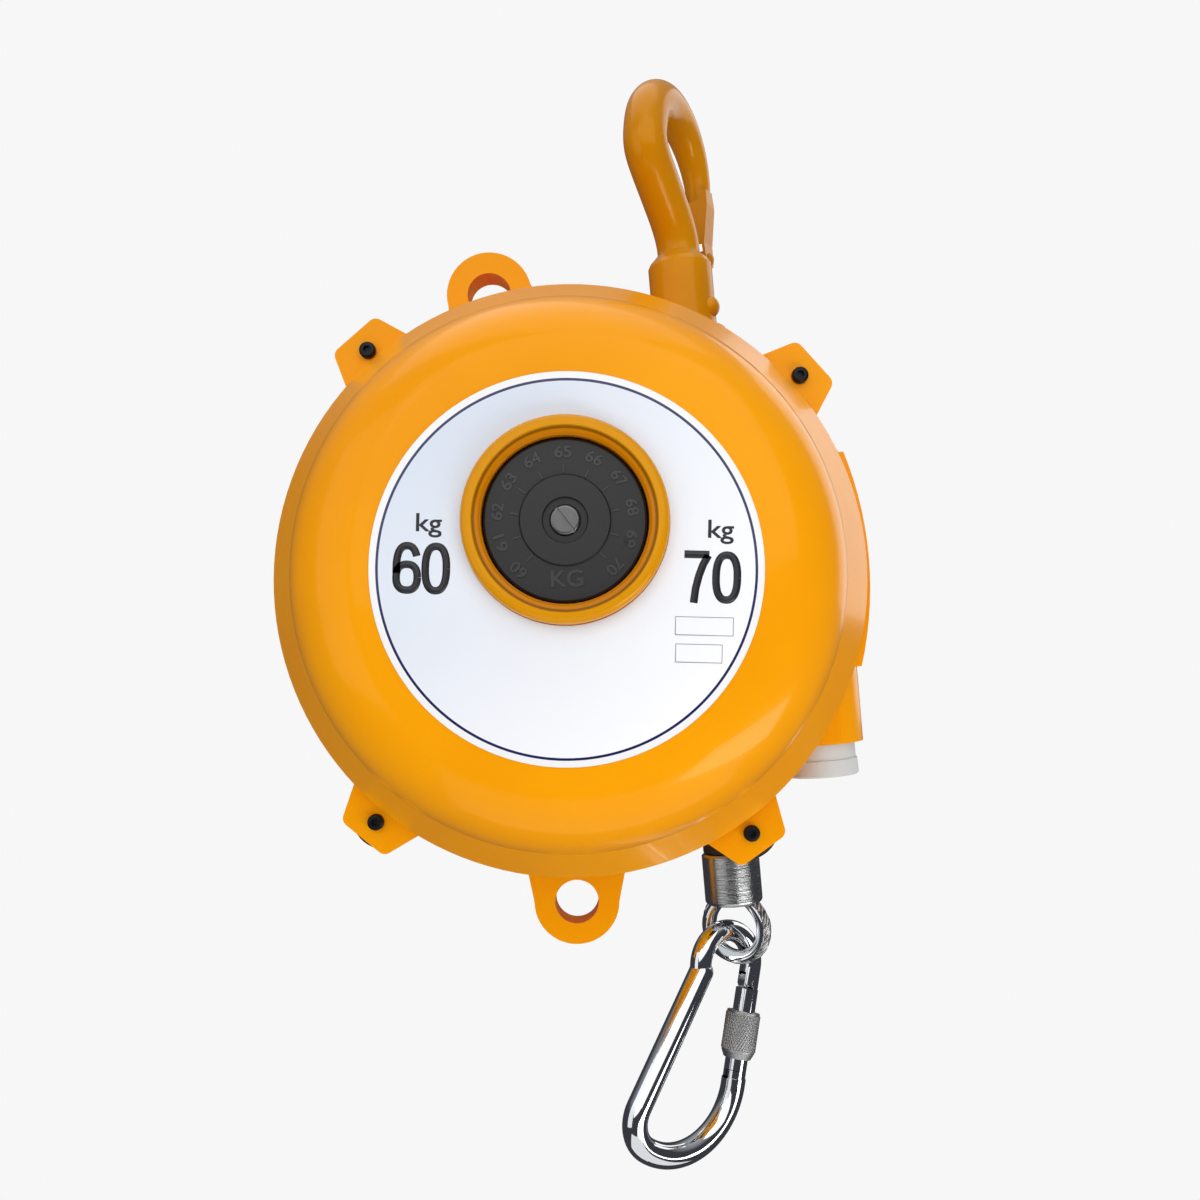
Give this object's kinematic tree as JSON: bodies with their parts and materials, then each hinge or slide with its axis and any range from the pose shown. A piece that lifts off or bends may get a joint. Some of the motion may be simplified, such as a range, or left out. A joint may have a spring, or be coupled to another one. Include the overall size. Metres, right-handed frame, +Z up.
{
  "type": "spring tool balancer",
  "caption": "Round spring balancer with a top safety hook, dial window, tension adjuster, and a wire rope that ends in a screw-gate carabiner.",
  "frame": {"origin": "bearing point inside the bowl of the upper hook, where the hanger bar sits, on the load line", "axes": "+Z up along the load line, -Y the front of the casing with its dial, +X to the right seen from the front"},
  "size_m": [0.2517, 0.18, 0.5002],
  "materials": {
    "casing_paint": "gloss",
    "hook_paint": "gloss",
    "plate_white": "gloss",
    "black_screw": "blackened",
    "black_rubber": "matte",
    "bright_steel": "satin",
    "chrome_steel": "polished",
    "bronze": "satin",
    "white_cap": "satin",
    "drum_alloy": "cast",
    "case_iron": "machined",
    "spring_steel": "tempered",
    "rope_wire": "stranded",
    "dial_black": "satin",
    "sleeve_grey": "matte knurled"
  },
  "bodies": {
    "casing": {"front_cover": "casing_paint", "rear_frame": "casing_paint", "name_plate": "plate_white", "lug_screws": "black_screw", "lug_bumpers": "black_rubber", "main_shaft": "bright_steel", "shaft_nut": "bright_steel", "rope_nozzle": "white_cap", "worm_bushes": "bronze", "adjuster_cap_left": "white_cap", "adjuster_cap_right": "white_cap", "stud_washer": "bright_steel"},
    "drum": {"rope_drum": "drum_alloy", "rope_windings": "rope_wire", "drum_bushes": "bronze", "spring_arbor": "bright_steel"},
    "case": {"spring_case": "case_iron", "case_lid": "case_iron", "lid_screws": "black_screw", "case_bush": "bronze", "mainspring": "spring_steel", "dial_plate": "dial_black", "dial_screw": "black_screw"},
    "worm": {"adjuster_worm": "bright_steel", "worm_circlip": "spring_steel"},
    "hook": {"upper_hook": "hook_paint", "swivel_stud": "bright_steel", "hook_cross_pin": "hook_paint", "stud_nut": "bright_steel", "latch_rivet": "hook_paint"},
    "latch": {"safety_latch": "hook_paint"},
    "rope_end": {"rope_run": "rope_wire", "rubber_buffer": "black_rubber", "rope_eye": "rope_wire", "rope_thimble": "chrome_steel", "rope_ferrule": "bright_steel"},
    "carabiner": {"carabiner_body": "chrome_steel", "gate_rivet": "chrome_steel"},
    "gate": {"carabiner_gate": "chrome_steel"},
    "sleeve": {"locking_sleeve": "sleeve_grey"}
  },
  "joints": [
    {"name": "hook_swivel", "type": "hinge", "parent": "casing", "child": "hook", "pos_m": [0, 0, -0.098], "axis": [0, 0, 1], "continuous": true},
    {"name": "latch_hinge", "type": "hinge", "parent": "hook", "child": "latch", "pos_m": [0.01357, 0.02449, -0.056], "axis": [0.8746, -0.4848, 0], "range_deg": [0, 38], "stiffness_Nm_per_rad": 0.02, "springref_deg": -28.65},
    {"name": "drum_spin", "type": "hinge", "parent": "casing", "child": "drum", "pos_m": [-0.062, 0, -0.197], "axis": [0, 1, 0], "range_deg": [0, 1380], "stiffness_Nm_per_rad": 0.5, "springref_deg": -229.18},
    {"name": "rope_slide", "type": "slide", "parent": "casing", "child": "rope_end", "axis": [0, 0, -1], "range_m": [0, 1.5], "deforming": ["rope_run"]},
    {"name": "case_turn", "type": "hinge", "parent": "casing", "child": "case", "pos_m": [-0.062, 0, -0.197], "axis": [0, -1, 0], "range_deg": [0, 315]},
    {"name": "worm_turn", "type": "hinge", "parent": "casing", "child": "worm", "pos_m": [0.042, -0.026, -0.197], "axis": [0, 0, -1], "range_deg": [0, 23640]},
    {"name": "carabiner_swing", "type": "hinge", "parent": "rope_end", "child": "carabiner", "pos_m": [-0.0029, 0.00196, -0.3945], "axis": [-0.5592, 0.829, 0], "range_deg": [-60, 20]},
    {"name": "gate_hinge", "type": "hinge", "parent": "carabiner", "child": "gate", "pos_m": [0.00394, 0.00657, -0.40812], "axis": [-0.5592, 0.829, 0], "range_deg": [0, 28], "stiffness_Nm_per_rad": 0.02, "springref_deg": -28.65},
    {"name": "sleeve_slide", "type": "slide", "parent": "gate", "child": "sleeve", "axis": [-0.2562, -0.1728, -0.9511], "range_m": [-0.009, 0.0085]}
  ],
  "couplings": [
    {"joint": "rope_slide", "follows": "drum_spin", "m_per_rad": 0.062},
    {"joint": "worm_turn", "follows": "case_turn", "ratio": 75}
  ]
}
